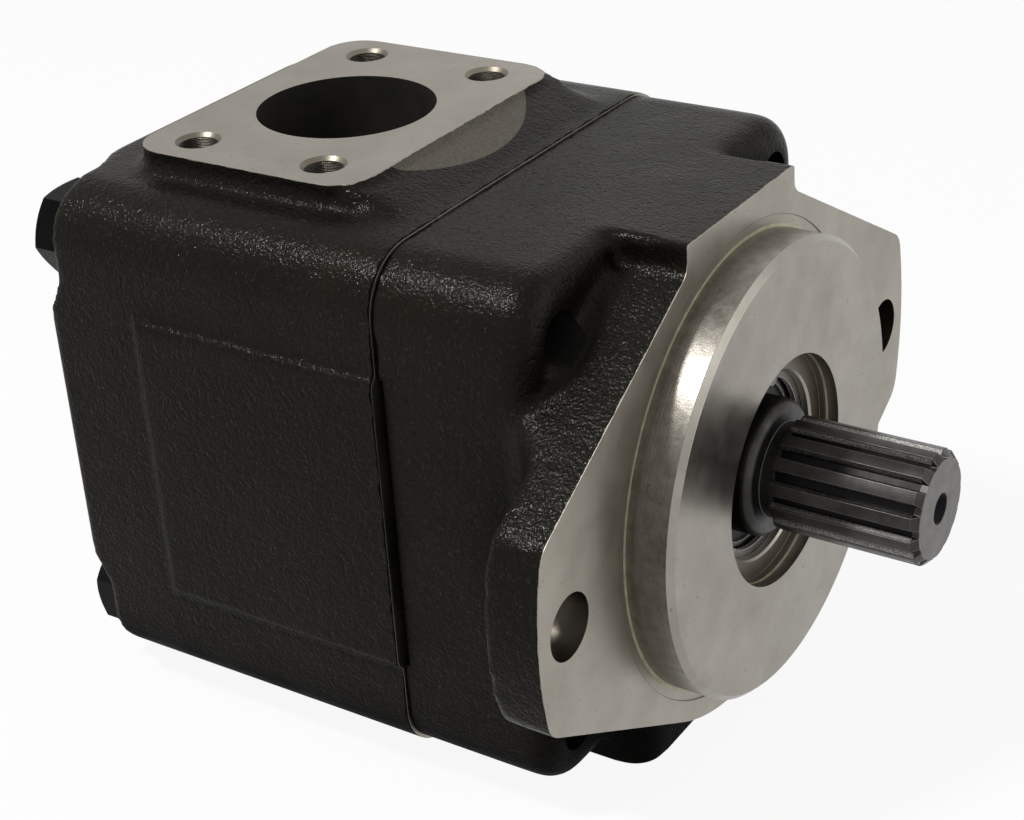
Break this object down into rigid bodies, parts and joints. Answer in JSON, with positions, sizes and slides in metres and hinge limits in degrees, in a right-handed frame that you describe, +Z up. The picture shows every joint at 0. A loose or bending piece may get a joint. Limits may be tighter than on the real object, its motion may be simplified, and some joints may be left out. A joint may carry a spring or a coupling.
{
  "type": "hydraulic vane pump",
  "caption": "Flange-mounted hydraulic vane pump with a splined shaft, a top suction port, a bottom outlet port and a balanced vane cartridge.",
  "frame": {"origin": "centre of the mounting flange face, on the shaft axis", "axes": "+X along the shaft out of the drive end, +Z up through the suction port, +Y completes a right-handed frame"},
  "size_m": [0.238, 0.209, 0.1641],
  "materials": {
    "housing_casting": "semi-gloss black paint over fine sand-cast texture; flange, pilot and port faces bare machined grey",
    "shaft_steel": "dark phosphated steel with worn tooth edges",
    "screw_steel": "black oxide",
    "ring_steel": "dark spring steel",
    "machined_steel": "ground",
    "plate_iron": "machined",
    "bronze": "bronze, ground",
    "brass_cage": "machined",
    "seal_rubber": "nitrile rubber"
  },
  "bodies": {
    "housing": {"front_housing": "housing_casting", "rear_housing": "housing_casting", "housing_screws": "screw_steel", "joint_seal": "seal_rubber", "bearing_outer_race": "machined_steel", "bearing_retaining_ring": "ring_steel", "seal_case": "machined_steel", "seal_lip": "seal_rubber", "seal_spring": "machined_steel", "seal_retaining_ring": "ring_steel", "outlet_support_plate": "plate_iron", "outlet_hub_seal": "seal_rubber", "outlet_rim_seal": "seal_rubber", "front_wear_plate": "bronze", "cam_ring": "machined_steel", "rear_wear_plate": "bronze", "inlet_support_plate": "plate_iron", "inlet_hub_seal": "seal_rubber", "shaft_bush": "bronze", "cartridge_screws": "screw_steel", "cartridge_dowels": "machined_steel"},
    "shaft": {"drive_shaft": "shaft_steel", "rotor": "machined_steel", "vane_inserts": "machined_steel", "bearing_inner_race": "machined_steel", "shaft_circlip": "ring_steel"},
    "cage": {"bearing_cage": "brass_cage", "bearing_balls": "machined_steel"},
    "vane_01": {"vane_01": "machined_steel"},
    "vane_02": {"vane_02": "machined_steel"},
    "vane_03": {"vane_03": "machined_steel"},
    "vane_04": {"vane_04": "machined_steel"},
    "vane_05": {"vane_05": "machined_steel"},
    "vane_06": {"vane_06": "machined_steel"},
    "vane_07": {"vane_07": "machined_steel"},
    "vane_08": {"vane_08": "machined_steel"},
    "vane_09": {"vane_09": "machined_steel"},
    "vane_10": {"vane_10": "machined_steel"},
    "vane_11": {"vane_11": "machined_steel"},
    "vane_12": {"vane_12": "machined_steel"}
  },
  "joints": [
    {"name": "shaft_turn", "type": "hinge", "parent": "housing", "child": "shaft", "pos_m": [0, 0, 0], "axis": [1, 0, 0], "continuous": true},
    {"name": "cage_turn", "type": "hinge", "parent": "housing", "child": "cage", "pos_m": [0, 0, 0], "axis": [1, 0, 0], "continuous": true},
    {"name": "vane_01_slide", "type": "slide", "parent": "shaft", "child": "vane_01", "axis": [0, 0.9659, 0.2588], "range_m": [0, 0.0007]},
    {"name": "vane_02_slide", "type": "slide", "parent": "shaft", "child": "vane_02", "axis": [0, 0.7071, 0.7071], "range_m": [0, 0.0032]},
    {"name": "vane_03_slide", "type": "slide", "parent": "shaft", "child": "vane_03", "axis": [0, 0.2588, 0.9659], "range_m": [0, 0.0057]},
    {"name": "vane_04_slide", "type": "slide", "parent": "shaft", "child": "vane_04", "axis": [0, -0.2588, 0.9659], "range_m": [0, 0.0057]},
    {"name": "vane_05_slide", "type": "slide", "parent": "shaft", "child": "vane_05", "axis": [0, -0.7071, 0.7071], "range_m": [0, 0.0032]},
    {"name": "vane_06_slide", "type": "slide", "parent": "shaft", "child": "vane_06", "axis": [0, -0.9659, 0.2588], "range_m": [0, 0.0007]},
    {"name": "vane_07_slide", "type": "slide", "parent": "shaft", "child": "vane_07", "axis": [0, -0.9659, -0.2588], "range_m": [0, 0.0007]},
    {"name": "vane_08_slide", "type": "slide", "parent": "shaft", "child": "vane_08", "axis": [0, -0.7071, -0.7071], "range_m": [0, 0.0032]},
    {"name": "vane_09_slide", "type": "slide", "parent": "shaft", "child": "vane_09", "axis": [0, -0.2588, -0.9659], "range_m": [0, 0.0057]},
    {"name": "vane_10_slide", "type": "slide", "parent": "shaft", "child": "vane_10", "axis": [0, 0.2588, -0.9659], "range_m": [0, 0.0057]},
    {"name": "vane_11_slide", "type": "slide", "parent": "shaft", "child": "vane_11", "axis": [0, 0.7071, -0.7071], "range_m": [0, 0.0032]},
    {"name": "vane_12_slide", "type": "slide", "parent": "shaft", "child": "vane_12", "axis": [0, 0.9659, -0.2588], "range_m": [0, 0.0007]}
  ],
  "couplings": [
    {"joint": "cage_turn", "follows": "shaft_turn", "ratio": 0.41204}
  ]
}
